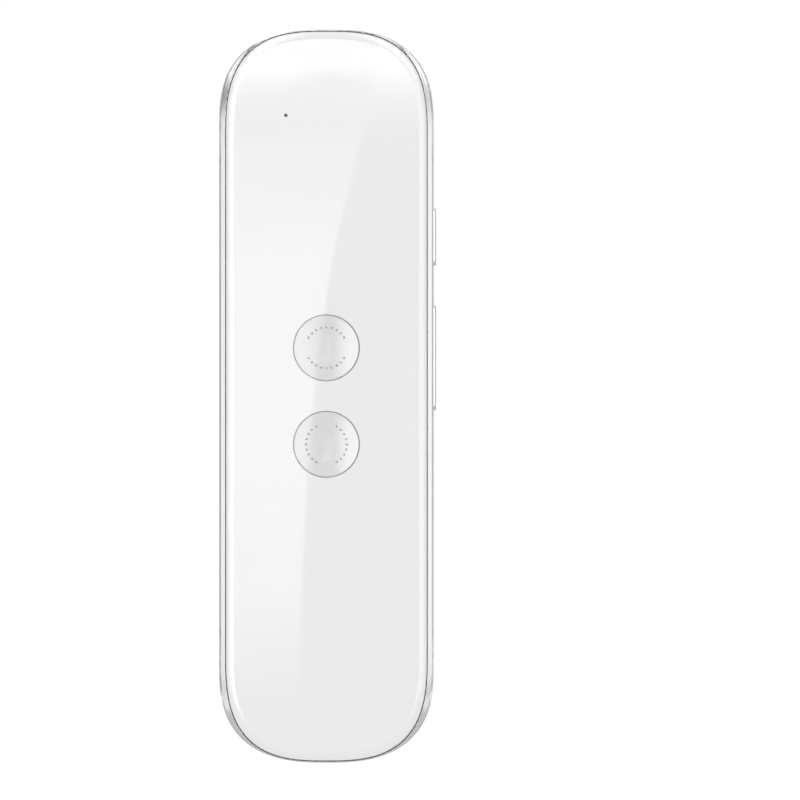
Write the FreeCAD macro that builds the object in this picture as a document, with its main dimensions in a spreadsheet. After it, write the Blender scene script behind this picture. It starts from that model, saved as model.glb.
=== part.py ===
import FreeCAD, Part
import math
import os
import re

# Handheld voice translator, standing upright: X to the right seen from the front,
# the front panel faces -Y, the domed metal back faces +Y, Z is the long axis.
# The origin is the middle of the body. Millimetres.

sizes = {
    # Outline, seen from the front
    "half_width": 20.65,
    "half_length": 70.5,
    "end_reach": 18.3,
    "end_bulge": 2.65,
    # Levels through the thickness
    "front_level": -6.2,
    "bezel_top": -5.8,
    "bezel_edge": -4.9,
    "panel_back": -5.0,
    "frame_front": -4.8,
    "parting": -3.9,
    "flange_back": -3.1,
    "dome_start": -1.9,
    "back_level": 6.2,
    "board_front": -1.4,
    "board_back": -0.6,
    # Metal back shell
    "wall": 1.2,
    "dome_bulge": 2.4,
    "dome_pull": 18,
    "grille_level": 43.85,
    "grille_pitch_x": 2.07,
    "grille_pitch_z": 2.39,
    "grille_hole": 0.54,
    "seat_level": 3.7,
    "seat_half_width": 8.6,
    "seat_half_height": 10.9,
    "seat_wall": 1.1,
    "boss_radius": 1.9,
    "boss_top_x": 13.2,
    "boss_top_z": 60.0,
    "boss_low_x": 10.5,
    "boss_low_z": -63.2,
    # Front panel and the ring round it
    "panel_half_width": 19.3,
    "panel_half_length": 70.06,
    "panel_reach": 20.4,
    "panel_bulge": 2.87,
    "panel_gap": 0.2,
    "panel_edge_width": 1.5,
    "panel_edge_depth": 0.55,
    "seal_front": -5.6,
    "seal_gap": 0.02,
    "ring_half_width": 19.52,
    "ring_half_length": 70.28,
    "ring_round_width": 0.62,
    "ring_round_depth": 0.66,
    "ledge": 2.1,
    "tape_inset": 0.5,
    "tape_width": 3.2,
    "flange_inset": 1.4,
    # Front buttons
    "button_z": 9.27,
    "button_radius": 6.32,
    "button_hole": 6.43,
    "button_flange": 7.1,
    "button_bay": 7.35,
    "button_face": -6.12,
    "button_dish": 0.35,
    "button_boss": 1.7,
    "dot_ring": 3.93,
    "dot_radius": 0.21,
    "dot_depth": 0.16,
    "switch_width": 5.2,
    "switch_back": -1.4,
    "switch_front": -3.3,
    "plunger_radius": 1.2,
    "plunger_front": -3.9,
    # Side keys, on the right
    "key_y": -1.4,
    "key_height": 2.4,
    "key_gap": 0.12,
    "rocker_gap": 0.22,
    "key_face": 21.1,
    "key_flange_face": 18.9,
    "key_flange_back": 18.1,
    "key_flange_lip": 0.35,
    "key_pocket": 19.45,
    "power_z": 30.6,
    "power_length": 11.1,
    "rocker_z": 7.3,
    "rocker_length": 20.3,
    "rocker_pin_x": 17.2,
    "rocker_pin_radius": 0.4,
    "rocker_switch_offset": 6.6,
    "side_switch_face": 17.3,
    "side_switch_depth": 0.9,
    "bracket_x": 16.0,
    "bracket_thick": 0.2,
    "flex_thick": 0.15,
    # Socket and pinhole, on the left
    "usb_z": 28.1,
    "usb_y": 0.98,
    "usb_length": 8.94,
    "usb_height": 3.16,
    "usb_mouth": -18.4,
    "usb_depth": 7.4,
    "usb_wall": 0.3,
    "usb_gap": 0.08,
    "pinhole_z": 55.4,
    "pinhole_y": 0.5,
    "pinhole_radius": 0.55,
    # Electronics
    "board_half_width": 15.2,
    "board_bottom": -17.5,
    "board_top": 62.5,
    "mic_x": -7.8,
    "mic_z": 53.95,
    "mic_hole": 0.33,
    "mic_skin": 0.38,
    "mic_nose": 0.9,
    "battery_half_width": 13.5,
    "battery_bottom": -60.2,
    "battery_top": -21.5,
    "battery_front": -2.95,
    "battery_thick": 5.2,
    # Loudspeaker
    "speaker_half_width": 8.0,
    "speaker_half_height": 10.2,
    "speaker_front": 3.0,
    "speaker_back": -0.3,
}

doc = FreeCAD.newDocument("Translator")
sheet = doc.addObject("Spreadsheet::Sheet", "Sizes")
for row, (alias, value) in enumerate(sizes.items(), start=1):
    sheet.set("A%d" % row, alias)
    sheet.set("B%d" % row, str(value))
    sheet.setAlias("B%d" % row, alias)
doc.recompute()

Vector = FreeCAD.Vector
facing = {
    "x": FreeCAD.Rotation(Vector(0, 1, 0), 90),
    "y": FreeCAD.Rotation(Vector(1, 0, 0), -90),
    "z": FreeCAD.Rotation(),
}
nodes = []


# Helpers

def size(alias):
    return float(sheet.get(alias))


def rule(text):
    """A rule in plain alias names, as an expression that reads them from the sheet."""
    text = str(text)
    return re.sub(r"[a-z_]{3,}[a-z_0-9]*", lambda word: "Sizes." + word.group(), text)


def bind(thing, **rules):
    for name, text in rules.items():
        thing.setExpression(name, rule(text))


def place(thing, x=0, y=0, z=0):
    for axis, text in zip("xyz", (x, y, z)):
        thing.setExpression("Placement.Base." + axis, rule(text))


def keep(thing, label):
    """Name a finished sub-part as a node of its own."""
    thing.Label = label
    nodes.append(thing)
    return thing


def between(low, high):
    return "(%s) - (%s)" % (high, low)


def block(name, x, y, z):
    """A box from (low, high) pairs of rules along X, Y and Z."""
    thing = doc.addObject("Part::Box", name)
    bind(thing, Length=between(*x), Width=between(*y), Height=between(*z))
    place(thing, x[0], y[0], z[0])
    return thing


def rod(name, radius, along, start, end, across):
    """A cylinder along one axis from start to end; across holds its other two coordinates."""
    thing = doc.addObject("Part::Cylinder", name)
    thing.Placement.Rotation = facing[along]
    bind(thing, Radius=radius, Height=between(start, end))
    spot = dict(zip([axis for axis in "xyz" if axis != along], across))
    spot[along] = start
    place(thing, **spot)
    return thing


def cut(name, base, *tools):
    for number, tool in enumerate(tools):
        whole = doc.addObject("Part::Cut", "%s_cut%d" % (name, number))
        whole.Base = base
        whole.Tool = tool
        base = whole
    return base


def fuse(name, *things):
    whole = doc.addObject("Part::MultiFuse", name)
    whole.Shapes = list(things)
    return whole


def common(name, one, other):
    whole = doc.addObject("Part::MultiCommon", name)
    whole.Shapes = [one, other]
    return whole


def group(name, *things):
    """Separate solids that share one node."""
    whole = doc.addObject("Part::Compound", name)
    whole.Links = list(things)
    return whole


def rounded(name, thing, radius, chosen):
    """Round the edges of a thing that the function chosen accepts."""
    doc.recompute()
    edges = [n for n, edge in enumerate(thing.Shape.Edges, start=1) if chosen(edge)]
    whole = doc.addObject("Part::Fillet", name)
    whole.Base = thing
    whole.Edges = [(n, radius, radius) for n in edges]
    return whole


def along_y(edge):
    box = edge.BoundBox
    return box.XLength + box.ZLength < 1e-6


def along_z(edge):
    box = edge.BoundBox
    return box.XLength + box.YLength < 1e-6


# Outlines: straight sides with a superellipse at each end

end_steps = 20
run_steps = 2


def end_points(half_width, half_length, reach, bulge, level, sign):
    """Points round one end, with a few on the straight sides that lead into it."""
    points = []
    centre = half_length - reach
    run = reach * 0.18
    for step in range(-run_steps, end_steps + run_steps + 1):
        turn = math.pi * min(max(step, 0), end_steps) / end_steps
        straight = run * max(-step, step - end_steps, 0)
        across = math.cos(turn)
        along = math.sin(turn)
        radius = (abs(across / half_width) ** bulge + abs(along / reach) ** bulge) ** (-1 / bulge)
        points.append(Vector(sign * radius * across, level, sign * (centre + radius * along - straight)))
    return points


def outline(name, half_width, half_length, reach, level, bulge=size("end_bulge")):
    """A closed outline at one level, as a wire of two straight sides and two ends."""
    steps = end_steps + 2 * run_steps
    spacing = [step / steps for step in range(steps + 1)]
    ends = []
    corners = []
    for sign in (1, -1):
        points = end_points(half_width, half_length, reach, bulge, level, sign)
        curve = Part.BSplineCurve()
        curve.interpolate(Points=points, Parameters=spacing)
        ends.append(curve.toShape())
        corners.append((points[0], points[-1]))
    left = Part.makeLine(corners[0][1], corners[1][0])
    right = Part.makeLine(corners[1][1], corners[0][0])
    thing = doc.addObject("Part::Feature", name)
    thing.Shape = Part.Wire([ends[0], left, ends[1], right])
    return thing


def inset_outline(name, inset, level):
    """The body's own outline, drawn in by an inset."""
    return outline(
        name,
        size("half_width") - inset,
        size("half_length") - inset,
        size("end_reach") - inset,
        level,
    )


def panel_outline(name, inset, level):
    """The front panel's outline, drawn in by an inset. Its corners are squarer than the body's."""
    return outline(
        name,
        size("panel_half_width") - inset,
        size("panel_half_length") - inset,
        size("panel_reach") - inset,
        level,
        size("panel_bulge"),
    )


def plate(name, profile, thickness):
    """An outline made solid towards the back."""
    thing = doc.addObject("Part::Extrusion", name)
    thing.Base = profile
    thing.DirMode = "Custom"
    thing.Dir = Vector(0, 1, 0)
    thing.Solid = True
    bind(thing, LengthFwd=thickness)
    return thing


def loft(name, sections):
    thing = doc.addObject("Part::Loft", name)
    thing.Sections = sections
    thing.Solid = True
    thing.Ruled = False
    return thing


dome_turns = (0, 6, 14, 26, 37, 47, 56, 64, 71, 77, 82, 87)


def dome(name, inset):
    """The back's dome, drawn in by an inset: a superellipse across, shorter as it narrows."""
    sections = []
    power = 2 / size("dome_bulge")
    height = size("back_level") - size("dome_start") - inset
    for turn in dome_turns:
        narrow = math.cos(math.radians(turn)) ** power
        rise = math.sin(math.radians(turn)) ** power
        sections.append(outline(
            "%s_at%d" % (name, turn),
            (size("half_width") - inset) * narrow,
            size("half_length") - inset - size("dome_pull") * (1 - narrow),
            (size("end_reach") - inset) * narrow ** 0.6,
            size("dome_start") + height * rise,
        ))
    return loft(name, sections)


# Screw places, as rules for X and Z: four through the frame into the back, four on the board
boss_places = (
    ("boss_top_x", "boss_top_z"),
    ("-boss_top_x", "boss_top_z"),
    ("boss_low_x", "boss_low_z"),
    ("-boss_low_x", "boss_low_z"),
)
post_places = (
    (-12.4, 40.0),
    (12.4, 45.0),
    (-12.4, -13.5),
    (12.4, -13.5),
)


# Metal back shell, with its grille, socket opening, key slots and inner bosses

def stadium(name, half_length, half_height, x, y, z):
    """A full-round slot tool through the side wall, long in Z; x is a (low, high) pair."""
    middle = block(
        name + "_middle", x,
        ("%s - %s" % (y, half_height), "%s + %s" % (y, half_height)),
        ("%s - (%s - %s)" % (z, half_length, half_height), "%s + (%s - %s)" % (z, half_length, half_height)),
    )
    ends = [
        rod(
            name + label, half_height, "x", x[0], x[1],
            (y, "%s %s (%s - %s)" % (z, sign, half_length, half_height)),
        )
        for label, sign in (("_top", "+"), ("_bottom", "-"))
    ]
    return fuse(name, middle, *ends)


def grille(name, radius, start, end):
    """Five columns of seven and eight holes in turn."""
    holes = []
    for column in range(5):
        count = 7 + column % 2
        for hole in range(count):
            holes.append(rod(
                "%s_%d_%d" % (name, column, hole), radius, "y", start, end,
                (
                    "%d * grille_pitch_x" % (column - 2),
                    "grille_level + %g * grille_pitch_z" % (hole - (count - 1) / 2),
                ),
            ))
    return group(name, *holes)


def back_shell():
    rim = size("parting")
    outside = fuse(
        "shell_outside",
        plate("shell_side", inset_outline("shell_rim", 0, rim), "dome_start - parting"),
        dome("shell_dome", 0),
    )
    inside = fuse(
        "shell_inside",
        plate("cavity_side", inset_outline("cavity_rim", size("wall"), rim), "dome_start - parting"),
        dome("cavity_dome", size("wall")),
    )
    walls = cut("shell_walls", outside, inside)
    # Bosses and speaker seat grow out of the wall and stop inside it
    posts = [
        rod("boss%d" % number, "boss_radius", "y", "flange_back", "back_level", spot)
        for number, spot in enumerate(boss_places)
    ]
    seat = cut(
        "seat_ring",
        block(
            "seat_block", ("-seat_half_width", "seat_half_width"), ("seat_level", "back_level"),
            ("grille_level - seat_half_height", "grille_level + seat_half_height"),
        ),
        block(
            "seat_hollow", ("seat_wall - seat_half_width", "seat_half_width - seat_wall"), (0, 10),
            ("grille_level - seat_half_height + seat_wall", "grille_level + seat_half_height - seat_wall"),
        ),
    )
    wall_middle = fuse(
        "wall_middle",
        plate("middle_side", inset_outline("middle_rim", size("wall") / 2, rim), "dome_start - parting"),
        dome("middle_dome", size("wall") / 2),
    )
    bosses = common("shell_bosses", fuse("shell_posts", seat, *posts), wall_middle)
    pilots = [
        rod("pilot%d" % number, 0.62, "y", "flange_back - 1", "flange_back + 3.4", spot)
        for number, spot in enumerate(boss_places)
    ]
    key_half = "(key_height / 2 + key_gap)"
    right = (17, 23)
    left = (-23, -16)
    slots = [
        stadium("power_slot", "(power_length / 2 + key_gap)", key_half, right, "key_y", "power_z"),
        stadium("rocker_slot", "(rocker_length / 2 + rocker_gap)", key_half, right, "key_y", "rocker_z"),
        stadium(
            "usb_opening", "(usb_length / 2 + usb_gap)", "(usb_height / 2 + usb_gap)", left, "usb_y", "usb_z",
        ),
        rod("pinhole", "pinhole_radius", "x", left[0], left[1], ("pinhole_y", "pinhole_z")),
    ]
    pocket = block(
        "key_pocket", (14, "key_pocket"), ("key_y - 1.9", "key_y + 2.0"),
        ("rocker_z - rocker_length / 2 - 1.6", "power_z + power_length / 2 + 1.6"),
    )
    body = fuse("shell_body", walls, bosses)
    holes = grille("grille_holes", "grille_hole", "back_level - 4", "back_level + 1")
    keep(cut("shell", body, pocket, holes, *slots, *pilots), "back_shell")


# Silver ring round the front panel: a rounding above its side, then a flat bevel up to its crest

def ring_outline(name, inset, level):
    """Drawn in by an inset, from the body's outline towards the crest, which follows the panel's."""
    share = inset / (size("half_width") - size("ring_half_width"))
    crest_reach = size("panel_reach") + size("ring_half_length") - size("panel_half_length")
    half_length, reach, bulge = [
        body + (crest - body) * share
        for body, crest in (
            (size("half_length"), size("ring_half_length")),
            (size("end_reach"), crest_reach),
            (size("end_bulge"), size("panel_bulge")),
        )
    ]
    return outline(name, size("half_width") - inset, half_length, reach, level, bulge)


ring_turns = (0, 20, 40, 55, 66)


def front_bezel():
    edge = size("bezel_edge")
    top = size("bezel_top")
    rounding = []
    for turn in ring_turns:
        angle = math.radians(turn)
        inset = size("ring_round_width") * (1 - math.cos(angle))
        level = edge - size("ring_round_depth") * math.sin(angle)
        rounding.append(ring_outline("ring_round_at%d" % turn, inset, level))
    bevel = doc.addObject("Part::Loft", "ring_bevel")
    bevel.Sections = [
        ring_outline("ring_shoulder", inset, level),
        ring_outline("ring_crest", size("half_width") - size("ring_half_width"), top),
    ]
    bevel.Solid = True
    bevel.Ruled = True
    ring = fuse(
        "ring_outside",
        plate("ring_side", inset_outline("ring_edge", 0, edge), "parting - bezel_edge"),
        loft("ring_rounding", rounding),
        bevel,
    )
    before = top - 1
    recess = plate(
        "panel_recess", panel_outline("recess_outline", -size("panel_gap"), before),
        "frame_front - bezel_top + 1",
    )
    opening = plate(
        "ring_opening", panel_outline("opening_outline", size("ledge"), before), "parting - bezel_top + 2",
    )
    keep(cut("ring", ring, recess, opening), "front_bezel")


# Glossy front panel, taped to the ring and the frame

def front_panel():
    width = size("panel_edge_width")
    depth = size("panel_edge_depth")
    front = size("front_level")
    slab = plate(
        "panel_slab", panel_outline("panel_line", 0, front + depth),
        "panel_back - front_level - panel_edge_depth",
    )
    crown = loft("panel_crown", [
        panel_outline(
            "panel_crown_at%d" % turn,
            width * (1 - math.cos(math.radians(turn))),
            front + depth * (1 - math.sin(math.radians(turn))),
        )
        for turn in (0, 18, 36, 54, 72, 90)
    ])
    through = ("y", "front_level - 1", "panel_back + 1")
    holes = [
        rod("panel_hole%d" % number, "button_hole", *through, (0, "%d * button_z" % sign))
        for number, sign in enumerate((1, -1))
    ]
    mic = rod("panel_mic", "mic_hole", *through, ("mic_x", "mic_z"))
    nose_bay = rod(
        "panel_nose_bay", "mic_nose + 0.05", "y", "front_level + mic_skin", "panel_back + 1",
        ("mic_x", "mic_z"),
    )
    keep(cut("panel", fuse("panel_solid", slab, crown), mic, nose_bay, *holes), "front_panel")


def panel_seal():
    """A thin rubber seal in the groove between the panel and the ring."""
    outer = plate(
        "seal_outer",
        panel_outline("seal_line", size("seal_gap") - size("panel_gap"), size("seal_front")),
        "frame_front - seal_front",
    )
    inner = plate(
        "seal_inner", panel_outline("seal_inner_line", -size("seal_gap"), size("seal_front") - 1),
        "frame_front - seal_front + 2",
    )
    keep(cut("seal", outer, inner), "panel_seal")


def panel_tape():
    outer = plate(
        "tape_outer", panel_outline("tape_line", size("tape_inset"), size("panel_back")),
        "frame_front - panel_back",
    )
    inner = plate(
        "tape_inner",
        panel_outline("tape_inner_line", size("tape_inset") + size("tape_width"), size("panel_back") - 1),
        "frame_front - panel_back + 2",
    )
    keep(cut("tape", outer, inner), "panel_tape")


# Moulded frame that carries the panel, the board and the battery

def mid_frame():
    front = plate(
        "frame_plate", panel_outline("frame_line", size("ledge") + 0.1, size("frame_front")),
        "flange_back - frame_front",
    )
    flange = plate(
        "frame_flange", inset_outline("flange_line", size("flange_inset"), size("parting")),
        "flange_back - parting",
    )
    posts = [
        rod("post%d" % number, 1.5, "y", "parting", "board_front", (x, z))
        for number, (x, z) in enumerate(post_places)
    ]
    through = ("y", "frame_front - 1", "flange_back + 1")
    tools = [
        rod("bay%d" % number, "button_bay", *through, (0, "%d * button_z" % sign))
        for number, sign in enumerate((1, -1))
    ]
    tools.append(rod("frame_mic", 1.6, *through, ("mic_x", "mic_z")))
    for number, spot in enumerate(boss_places):
        tools.append(rod("sink%d" % number, 1.55, "y", "frame_front - 1", "parting", spot))
        tools.append(rod("clear%d" % number, 0.8, *through, spot))
    for number, (x, z) in enumerate(post_places):
        tools.append(rod("post_pilot%d" % number, 0.52, "y", "flange_back + 0.2", "board_front + 1", (x, z)))
    keep(cut("frame", fuse("frame_solid", front, flange, *posts), *tools), "mid_frame")


# Two round front buttons, dished, each with two arcs of dots, over its own switch

def sketch_on(body, name, role):
    plane = [feature for feature in body.Origin.OriginFeatures if feature.Role == role][0]
    sketch = body.newObject("Sketcher::SketchObject", name)
    sketch.AttachmentSupport = [(plane, "")]
    sketch.MapMode = "FlatFace"
    return sketch


def front_button(label, sign, first_arc):
    """first_arc is the angle of the middle of the first arc of dots; the other arc is opposite."""
    body = doc.addObject("PartDesign::Body", label + "_body")
    profile = sketch_on(body, label + "_profile", "XY_Plane")
    face = size("button_face")
    flange_front = size("panel_back") + 0.05
    flange_back = flange_front + 0.6
    boss_back = size("plunger_front")
    radius = size("button_radius")
    corner = 0.3
    corners = [
        (0, boss_back),
        (size("button_boss"), boss_back),
        (size("button_boss"), flange_back),
        (size("button_flange"), flange_back),
        (size("button_flange"), flange_front),
        (radius, flange_front),
        (radius, face + corner),
    ]
    for start, end in zip(corners, corners[1:]):
        profile.addGeometry(Part.LineSegment(Vector(*start, 0), Vector(*end, 0)), False)
    rim = (radius - corner, face)
    lift = corner * (1 - math.sqrt(0.5))
    bend = Vector(radius - lift, face + lift, 0)
    profile.addGeometry(Part.Arc(Vector(*corners[-1], 0), bend, Vector(*rim, 0)), False)
    centre = (0, face + size("button_dish"))
    curve_radius = (rim[0] ** 2 + size("button_dish") ** 2) / (2 * size("button_dish"))
    half = rim[0] / 2
    fall = math.sqrt(curve_radius ** 2 - half ** 2) - (curve_radius - size("button_dish"))
    profile.addGeometry(Part.Arc(Vector(*rim, 0), Vector(half, face + fall, 0), Vector(*centre, 0)), False)
    profile.addGeometry(Part.LineSegment(Vector(*centre, 0), Vector(*corners[0], 0)), False)
    turned = body.newObject("PartDesign::Revolution", label + "_turned")
    turned.Profile = profile
    turned.ReferenceAxis = (profile, ["V_Axis"])
    turned.Angle = 360
    doc.recompute()
    # Dots: one shallow round dimple, repeated round each arc
    ring = size("dot_ring")
    floor = face + size("button_dish") * (1 - (ring / rim[0]) ** 2) + size("dot_depth")
    dots = sketch_on(body, label + "_dots", "XZ_Plane")
    for arc in (0, 180):
        # The pattern turns clockwise seen from behind the sketch, from the arc's far end
        turn = math.radians(first_arc + arc + 60)
        spot = Vector(ring * math.cos(turn), ring * math.sin(turn), 0)
        dots.addGeometry(Part.Circle(spot, Vector(0, 0, 1), size("dot_radius")), False)
    dimple = body.newObject("PartDesign::Pocket", label + "_dimple")
    dimple.Profile = dots
    dimple.Type = 0
    # The dots are drawn at their floor and cut from there to the front
    dots.AttachmentOffset.Base = Vector(0, 0, -floor)
    dimple.Length = 1.5
    dimple.Reversed = True
    doc.recompute()
    arcs = body.newObject("PartDesign::PolarPattern", label + "_arcs")
    arcs.Originals = [dimple]
    arcs.Axis = (profile, ["V_Axis"])
    arcs.Angle = 120
    arcs.Occurrences = 9
    body.Tip = arcs
    doc.recompute()
    place(body, 0, 0, "%d * button_z" % sign)
    return body


def front_buttons():
    for label, sign, first_arc in (("upper", 1, 90), ("lower", -1, 0)):
        keep(front_button(label + "_button", sign, first_arc), label + "_button")
        z = "%d * button_z" % sign
        housing = block(
            label + "_switch_block",
            ("-switch_width / 2", "switch_width / 2"),
            ("switch_front", "switch_back"),
            (z + " - switch_width / 2", z + " + switch_width / 2"),
        )
        well = rod(
            label + "_switch_well", "plunger_radius + 0.1", "y", "switch_front - 1", "switch_back - 0.4",
            (0, z),
        )
        keep(cut(label + "_switch", housing, well), label + "_switch_body")
        keep(
            rod(label + "_plunger", "plunger_radius", "y", "plunger_front", "switch_front + 0.6", (0, z)),
            label + "_switch_plunger",
        )


# Power key and volume rocker, on the right side, with the bracket that holds their switches

def key_cap(name, length, z):
    """A rounded bar through the wall, with a lip behind the wall that keeps it in."""
    half_height = "key_height / 2"
    reach = ("key_flange_back", "key_face")
    bar = stadium(name + "_bar", "(%s / 2)" % length, "(%s)" % half_height, reach, "key_y", z)
    face = size("key_face")
    soft = rounded(name + "_soft", bar, 0.4, lambda edge: edge.BoundBox.XMin > face - 1e-3)
    lip = block(
        name + "_lip", ("key_flange_back", "key_flange_face"),
        ("key_y - %s - key_flange_lip" % half_height, "key_y + %s + key_flange_lip" % half_height),
        ("%s - %s / 2 - 0.8" % (z, length), "%s + %s / 2 + 0.8" % (z, length)),
    )
    return soft, lip


def side_keys():
    keep(fuse("power_cap", *key_cap("power_key", "power_length", "power_z")), "power_button")
    lug = block(
        "rocker_lug", ("rocker_pin_x - 0.9", "key_flange_back + 0.3"), ("key_y - 0.8", "key_y + 0.8"),
        ("rocker_z - 1.1", "rocker_z + 1.1"),
    )
    eye = rod(
        "rocker_eye", "rocker_pin_radius + 0.04", "y", "key_y - 2", "key_y + 2", ("rocker_pin_x", "rocker_z"),
    )
    rocker = fuse("rocker_solid", *key_cap("rocker_key", "rocker_length", "rocker_z"), lug)
    keep(cut("rocker", rocker, eye), "volume_rocker")
    keep(
        rod("pin", "rocker_pin_radius", "y", "key_y - 1.4", "key_y + 1.4", ("rocker_pin_x", "rocker_z")),
        "rocker_pin",
    )


switch_spots = {
    "power": "power_z",
    "upper": "rocker_z + rocker_switch_offset",
    "lower": "rocker_z - rocker_switch_offset",
}


def side_switches():
    """A row of three small switches on a flexible strip, held by a sheet metal bracket."""
    bodies = {}
    plungers = {}
    for name, z in switch_spots.items():
        housing = block(
            name + "_side_block", ("side_switch_face - side_switch_depth", "side_switch_face"),
            ("key_y - 1.1", "key_y + 1.1"), (z + " - 1.5", z + " + 1.5"),
        )
        well = rod(
            name + "_side_well", 0.6, "x", "side_switch_face - 0.6", "side_switch_face + 1",
            ("key_y", z),
        )
        bodies[name] = cut(name + "_side_switch", housing, well)
        plungers[name] = rod(
            name + "_side_plunger", 0.45, "x", "side_switch_face - 0.2", "key_flange_back", ("key_y", z),
        )
    keep(bodies["power"], "power_switch_body")
    keep(plungers["power"], "power_switch_plunger")
    keep(group("volume_switches", bodies["upper"], bodies["lower"]), "volume_switch_bodies")
    keep(group("volume_plungers", plungers["upper"], plungers["lower"]), "volume_switch_plungers")
    low = "rocker_z - rocker_length / 2 - 0.4"
    high = "power_z + 3.4"
    behind = "side_switch_face - side_switch_depth"
    layer = (behind + " - flex_thick", behind)
    strip = block("flex_strip", layer, ("key_y - 1.3", "key_y + 1.3"), (low, high))
    gap = block("flex_gap", (15, 18), ("key_y - 1.5", "key_y + 1.2"), ("rocker_z - 1.6", "rocker_z + 1.6"))
    tail = block("flex_tail", layer, ("key_y + 1.2", "key_y + 1.7"), (low, high))
    keep(cut("flex", fuse("flex_whole", strip, tail), gap), "side_key_flex")
    back = ("bracket_x", "bracket_x + bracket_thick")
    web = block("bracket_web", back, ("flange_back", "key_y + 1.3"), (low, high))
    foot = block(
        "bracket_foot", ("bracket_x - 2.6", "bracket_x + bracket_thick"),
        ("flange_back", "flange_back + bracket_thick"), (low, high),
    )
    ears = [
        block(
            "bracket_ear%d" % number, ("bracket_x", "rocker_pin_x + 0.75"),
            ("key_y %s 1.0 - 0.1" % sign, "key_y %s 1.0 + 0.1" % sign), ("rocker_z - 1.0", "rocker_z + 1.0"),
        )
        for number, sign in enumerate("+-")
    ]
    eye = rod(
        "bracket_eye", "rocker_pin_radius + 0.01", "y", "key_y - 2", "key_y + 2",
        ("rocker_pin_x", "rocker_z"),
    )
    keep(cut("bracket", fuse("bracket_whole", web, foot, *ears), eye), "key_bracket")


# Socket and reset switch, on the left side

def tube_slot(name, half_length, half_height, x):
    return stadium(name, half_length, half_height, x, "usb_y", "usb_z")


def usb_socket():
    mouth = "usb_mouth"
    end = "usb_mouth + usb_depth"
    outer = tube_slot("usb_outer", "(usb_length / 2)", "(usb_height / 2)", (mouth, end))
    inner = tube_slot(
        "usb_inner", "(usb_length / 2 - usb_wall)", "(usb_height / 2 - usb_wall)",
        (mouth + " - 1", end + " - 0.9"),
    )
    keep(cut("usb", outer, inner), "usb_shell")
    tongue = ("usb_z - 3.35", "usb_z + 3.35")
    keep(
        block("tongue", (mouth + " + 0.6", end + " - 0.9"), ("usb_y - 0.35", "usb_y + 0.35"), tongue),
        "usb_tongue",
    )
    pads = []
    rows = {
        "near": ("usb_y - 0.43", "usb_y - 0.35"),
        "far": ("usb_y + 0.35", "usb_y + 0.43"),
    }
    for side, level in rows.items():
        for number in range(12):
            z = "usb_z + %g" % ((number - 5.5) * 0.5)
            pads.append(block(
                "pad_%s_%d" % (side, number), (mouth + " + 1.0", mouth + " + 4.6"), level,
                (z + " - 0.13", z + " + 0.13"),
            ))
    keep(group("pads", *pads), "usb_contacts")


def reset_switch():
    housing = block(
        "reset_block", (-16.6, -13.6), ("board_back", "pinhole_y + 0.8"),
        ("pinhole_z - 1.7", "pinhole_z + 1.7"),
    )
    well = rod("reset_well", 0.6, "x", -18, -15.6, ("pinhole_y", "pinhole_z"))
    keep(cut("reset", housing, well), "reset_switch_body")
    keep(rod("reset_pin", 0.5, "x", -17.2, -15.9, ("pinhole_y", "pinhole_z")), "reset_plunger")


# Main board and what is on it

def main_board():
    board = block(
        "board_plate", ("-board_half_width", "board_half_width"), ("board_front", "board_back"),
        ("board_bottom", "board_top"),
    )
    corner = rounded("board_rounded", board, 5.0, lambda edge: along_y(edge) and edge.BoundBox.ZMin > 0)
    notches = [
        rod("board_notch%d" % number, "boss_radius + 0.3", "y", "board_front - 1", "board_back + 1",
            ("%d * boss_top_x" % sign, "boss_top_z"))
        for number, sign in enumerate((1, -1))
    ]
    holes = [
        rod("board_hole%d" % number, 0.65, "y", "board_front - 1", "board_back + 1", spot)
        for number, spot in enumerate(post_places)
    ]
    wing = block(
        "board_wing", ("-17.2", "-board_half_width + 1"), ("board_front", "board_back"),
        ("usb_z - 5.6", "usb_z + 5.6"),
    )
    reset_wing = block(
        "board_reset_wing", ("-16.8", "-board_half_width + 1"), ("board_front", "board_back"), (50.5, 57.6),
    )
    keep(cut("board", fuse("board_whole", corner, wing, reset_wing), *notches, *holes), "main_board")


def board_parts():
    back = "board_back"
    can = block("can", (-8.5, 8.5), (back, back + " + 1.6"), (7.5, 25.5))
    hollow = block("can_hollow", (-8.3, 8.3), (back + " - 1", back + " + 1.4"), (7.7, 25.3))
    keep(cut("can_shell", can, hollow), "shield_can")
    keep(block("processor", (-6, 6), (back, back + " + 1.1"), (10.5, 22.5)), "processor_chip")
    keep(block("memory", (-6.2, 1.8), (back, back + " + 0.9"), (-5.2, 4.3)), "memory_chip")
    keep(block("charger", (5.2, 9.2), (back, back + " + 0.8"), (-2.2, 1.8)), "charger_chip")
    keep(rod("inductor", 1.9, "y", back, back + " + 1.5", (8.4, -7.0)), "power_inductor")
    keep(block("socket", (-3.4, 3.4), (back, back + " + 1.2"), (-14.6, -11.8)), "battery_socket")
    keep(block("plug", (-3.0, 3.0), (back + " + 1.2", back + " + 2.0"), (-14.9, -11.5)), "battery_plug")
    front = "board_front"
    keep(block(
        "mic_can", ("mic_x - 1.8", "mic_x + 1.8"), (front + " - 1.1", front), ("mic_z - 1.4", "mic_z + 1.4"),
    ), "microphone")
    boot = fuse(
        "boot_solid",
        rod("boot_outer", 1.45, "y", "panel_back", front + " - 1.1", ("mic_x", "mic_z")),
        rod("boot_nose", "mic_nose", "y", "front_level + mic_skin", "panel_back", ("mic_x", "mic_z")),
    )
    bore = rod("boot_bore", 0.5, "y", "front_level", front, ("mic_x", "mic_z"))
    keep(cut("boot", boot, bore), "mic_boot")
    keep(block("antenna", (-11, 6), ("flange_back", "flange_back + 0.15"), (61.5, 66.0)), "antenna_flex")


# Battery, in the lower half

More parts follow.
